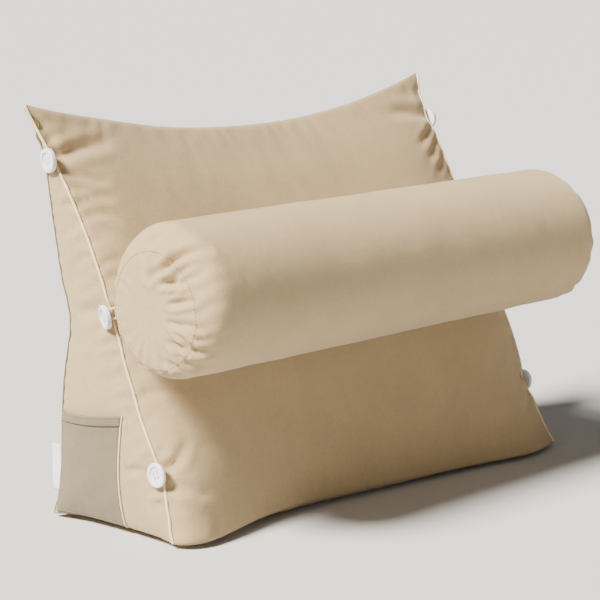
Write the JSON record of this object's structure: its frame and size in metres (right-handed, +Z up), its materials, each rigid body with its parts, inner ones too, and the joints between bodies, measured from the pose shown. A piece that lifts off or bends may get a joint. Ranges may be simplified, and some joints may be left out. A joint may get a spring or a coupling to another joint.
{
  "type": "wedge backrest cushion",
  "caption": "Triangular wedge backrest cushion with a round lumbar bolster hung on buttons down its slope, a side pocket and zipped covers.",
  "frame": {"origin": "middle of the flat base, on the surface that the cushion stands on", "axes": "+X across the cushion along the bolster, +Y from the sloping front to the back, +Z up"},
  "size_m": [0.612, 0.2743, 0.425],
  "materials": {
    "cover_cloth": "fine peach-skin weave, matt",
    "pocket_cloth": "plain linen-like weave, matt",
    "liner_cloth": "non-woven inner bag, matt",
    "fibre_fill": "hollow polyester fibre",
    "button_plastic": "moulded, glossy",
    "button_thread": "spun sewing thread",
    "elastic_cord": "braided elastic",
    "zip_tape": "woven tape",
    "zip_coil": "nylon coil",
    "zip_metal": "nickel plated",
    "label_tape": "satin woven tape"
  },
  "bodies": {
    "wedge": {"back_panel_lower": "cover_cloth", "back_panel_upper": "cover_cloth", "base_panel": "cover_cloth", "front_panel": "cover_cloth", "left_back_piping": "cover_cloth", "left_bottom_button": "button_plastic", "left_button_threads": "button_thread", "left_front_piping": "cover_cloth", "left_middle_button": "button_plastic", "left_side_panel": "cover_cloth", "left_top_button": "button_plastic", "pocket_hem": "pocket_cloth", "right_back_piping": "cover_cloth", "right_bottom_button": "button_plastic", "right_button_threads": "button_thread", "right_front_piping": "cover_cloth", "right_middle_button": "button_plastic", "right_side_panel": "cover_cloth", "right_top_button": "button_plastic", "side_pocket": "pocket_cloth", "wedge_fill": "fibre_fill", "wedge_liner": "liner_cloth", "wedge_zip_coils": "zip_coil", "wedge_zip_stops": "zip_metal", "wedge_zip_tapes": "zip_tape"},
    "wedge_zip_slider": {"wedge_zip_slider": "zip_metal"},
    "wedge_zip_pull": {"wedge_zip_pull": "zip_metal"},
    "care_label": {"care_label": "label_tape"},
    "loops": {"left_loop": "elastic_cord", "right_loop": "elastic_cord"},
    "bolster": {"bolster_tube_panel": "cover_cloth", "bolster_left_end_panel": "cover_cloth", "bolster_right_end_panel": "cover_cloth", "bolster_liner": "liner_cloth", "bolster_fill": "fibre_fill", "bolster_zip_tapes": "zip_tape", "bolster_zip_coils": "zip_coil", "bolster_zip_stops": "zip_metal"},
    "bolster_zip_slider": {"bolster_zip_slider": "zip_metal"},
    "bolster_zip_pull": {"bolster_zip_pull": "zip_metal"}
  },
  "joints": [
    {"name": "bolster_height", "type": "slide", "parent": "wedge", "child": "loops", "axis": [0, 0.4597, 0.8881], "range_m": [-0.1675, 0.1675], "deforming": ["left_loop", "right_loop"]},
    {"name": "bolster_swing", "type": "hinge", "parent": "loops", "child": "bolster", "pos_m": [0, 0.02826, 0.22072], "axis": [-1, 0, 0], "range_deg": [0, 24], "deforming": ["left_loop", "right_loop"]},
    {"name": "wedge_zip_slide", "type": "slide", "parent": "wedge", "child": "wedge_zip_slider", "axis": [1, 0, 0], "range_m": [0, 0.442]},
    {"name": "wedge_zip_pull_swing", "type": "hinge", "parent": "wedge_zip_slider", "child": "wedge_zip_pull", "pos_m": [-0.221, 0.10337, 0.04753], "axis": [1, 0, 0], "range_deg": [-6, 110]},
    {"name": "bolster_zip_slide", "type": "slide", "parent": "bolster", "child": "bolster_zip_slider", "axis": [1, 0, 0], "range_m": [0, 0.412]},
    {"name": "bolster_zip_pull_swing", "type": "hinge", "parent": "bolster_zip_slider", "child": "bolster_zip_pull", "pos_m": [-0.206, -0.00352, 0.29463], "axis": [1, 0, 0], "range_deg": [0, 110]},
    {"name": "label_flap", "type": "hinge", "parent": "wedge", "child": "care_label", "pos_m": [-0.2854, 0.10062, 0.02567], "axis": [0, 0.0704, 0.9975], "range_deg": [-70, 85]}
  ]
}
